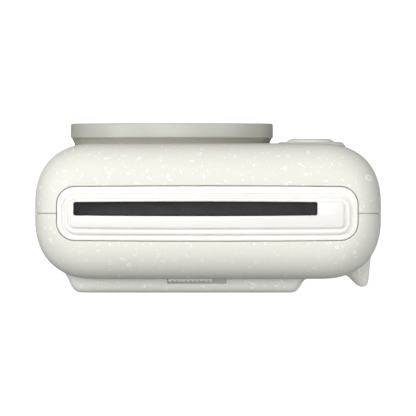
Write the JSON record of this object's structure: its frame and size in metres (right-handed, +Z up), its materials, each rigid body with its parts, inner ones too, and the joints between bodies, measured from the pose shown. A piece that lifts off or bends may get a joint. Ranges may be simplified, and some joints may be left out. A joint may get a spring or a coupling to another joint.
{
  "type": "instant camera",
  "caption": "Upright instant camera with rounded speckled shell, turning lens ring, shutter button, print slot on top and a hinged film door.",
  "frame": {"origin": "on the base, in the middle of the overall width and depth", "axes": "+Z up, the lens looks along -Y, +X is the viewer's left"},
  "size_m": [0.1192, 0.0582, 0.1281],
  "materials": {
    "shell": "fine matte moulding with printed white speckles",
    "bezel": "satin",
    "ring": "satin",
    "black_plastic": "fine matte",
    "black_rubber": "matte",
    "clear_glass": "polished",
    "smoked_window": "gloss",
    "steel": "brushed",
    "mirror": "polished",
    "gear_plastic": "satin",
    "board": "solder mask",
    "cell_wrap": "gloss"
  },
  "bodies": {
    "camera_body": {"front_cover": "shell", "rear_cover": "shell", "slot_bezel": "bezel", "base_frame": "black_plastic", "base_screw_1": "steel", "base_screw_2": "steel", "base_screw_3": "steel", "base_screw_4": "steel", "strap_bar_left": "steel", "strap_bar_right": "steel", "lens_collar": "ring", "barrel_guide": "black_plastic", "button_pad": "shell", "release_switch": "black_plastic", "film_chamber": "black_plastic", "light_baffle": "black_rubber", "door_hinge_pin": "steel", "battery_hinge_pin": "steel", "viewfinder_window": "clear_glass", "viewfinder_eyepiece": "smoked_window", "viewfinder_tunnel": "black_plastic", "flash_window": "clear_glass", "flash_reflector": "steel", "flash_tube": "clear_glass", "flash_capacitor": "black_rubber", "sensor_window": "smoked_window", "counter_window": "clear_glass", "battery_tray": "black_plastic", "battery_lower": "cell_wrap", "battery_upper": "cell_wrap", "main_board": "board", "eject_motor": "steel", "roller_bracket_left": "steel", "roller_bracket_right": "steel"},
    "lens_ring": {"lens_ring": "ring"},
    "lens_barrel": {"lens_barrel": "black_plastic", "lens_face_plate": "black_plastic", "front_lens": "clear_glass", "rear_lens": "clear_glass", "selfie_mirror": "mirror", "shutter_housing": "black_plastic"},
    "shutter_blade": {"shutter_blade": "steel"},
    "shutter_button": {"shutter_button": "bezel"},
    "film_door": {"film_door": "shell", "pack_window": "smoked_window", "pressure_plate": "black_plastic", "pressure_spring_left": "steel", "pressure_spring_right": "steel"},
    "door_latch": {"door_latch": "bezel"},
    "exit_flap": {"exit_flap": "black_rubber"},
    "front_roller": {"front_roller": "steel", "front_roller_gear": "gear_plastic"},
    "rear_roller": {"rear_roller": "steel", "rear_roller_gear": "gear_plastic"},
    "idler_gear": {"idler_gear": "gear_plastic"},
    "motor_pinion": {"motor_pinion": "gear_plastic"},
    "battery_door": {"battery_door": "shell"},
    "counter_disc": {"counter_disc": "bezel"}
  },
  "joints": [
    {"name": "ring_turn", "type": "hinge", "parent": "camera_body", "child": "lens_ring", "pos_m": [0.0125, -0.026, 0.057], "axis": [0, 1, 0], "range_deg": [0, 90]},
    {"name": "barrel_slide", "type": "slide", "parent": "camera_body", "child": "lens_barrel", "axis": [0, -1, 0], "range_m": [0, 0.012]},
    {"name": "blade_swing", "type": "hinge", "parent": "lens_barrel", "child": "shutter_blade", "pos_m": [0.0125, -0.0175, 0.069], "axis": [0, 1, 0], "range_deg": [0, 32], "stiffness_Nm_per_rad": 0.0002},
    {"name": "button_press", "type": "slide", "parent": "camera_body", "child": "shutter_button", "axis": [0, 1, 0], "range_m": [0, 0.001], "stiffness_N_per_m": 400},
    {"name": "door_swing", "type": "hinge", "parent": "camera_body", "child": "film_door", "pos_m": [0.008, 0.024, 0.009], "axis": [-1, 0, 0], "range_deg": [0, 90]},
    {"name": "latch_slide", "type": "slide", "parent": "film_door", "child": "door_latch", "axis": [-1, 0, 0], "range_m": [0, 0.0043], "stiffness_N_per_m": 150},
    {"name": "flap_swing", "type": "hinge", "parent": "camera_body", "child": "exit_flap", "pos_m": [0.0043, -0.00106, 0.1225], "axis": [1, 0, 0], "range_deg": [0, 75], "stiffness_Nm_per_rad": 0.0001},
    {"name": "front_roller_spin", "type": "hinge", "parent": "camera_body", "child": "front_roller", "pos_m": [0.008, -0.0029, 0.1125], "axis": [1, 0, 0], "continuous": true},
    {"name": "rear_roller_spin", "type": "hinge", "parent": "camera_body", "child": "rear_roller", "pos_m": [0.008, 0.0041, 0.1125], "axis": [1, 0, 0], "continuous": true},
    {"name": "idler_spin", "type": "hinge", "parent": "camera_body", "child": "idler_gear", "pos_m": [-0.036, -0.0059, 0.10244], "axis": [1, 0, 0], "continuous": true},
    {"name": "pinion_spin", "type": "hinge", "parent": "camera_body", "child": "motor_pinion", "pos_m": [-0.036, -0.0059, 0.09294], "axis": [1, 0, 0], "continuous": true},
    {"name": "battery_door_swing", "type": "hinge", "parent": "camera_body", "child": "battery_door", "pos_m": [-0.0586, -0.0035, 0.0094], "axis": [0, -1, 0], "range_deg": [0, 95]},
    {"name": "counter_turn", "type": "hinge", "parent": "camera_body", "child": "counter_disc", "pos_m": [-0.043, 0.0189, 0.026], "axis": [0, 1, 0], "range_deg": [0, 300]}
  ],
  "couplings": [
    {"joint": "barrel_slide", "follows": "ring_turn", "m_per_rad": 0.0076},
    {"joint": "rear_roller_spin", "follows": "front_roller_spin", "ratio": -1},
    {"joint": "idler_spin", "follows": "front_roller_spin", "ratio": -0.5},
    {"joint": "pinion_spin", "follows": "front_roller_spin", "ratio": 1.4}
  ]
}
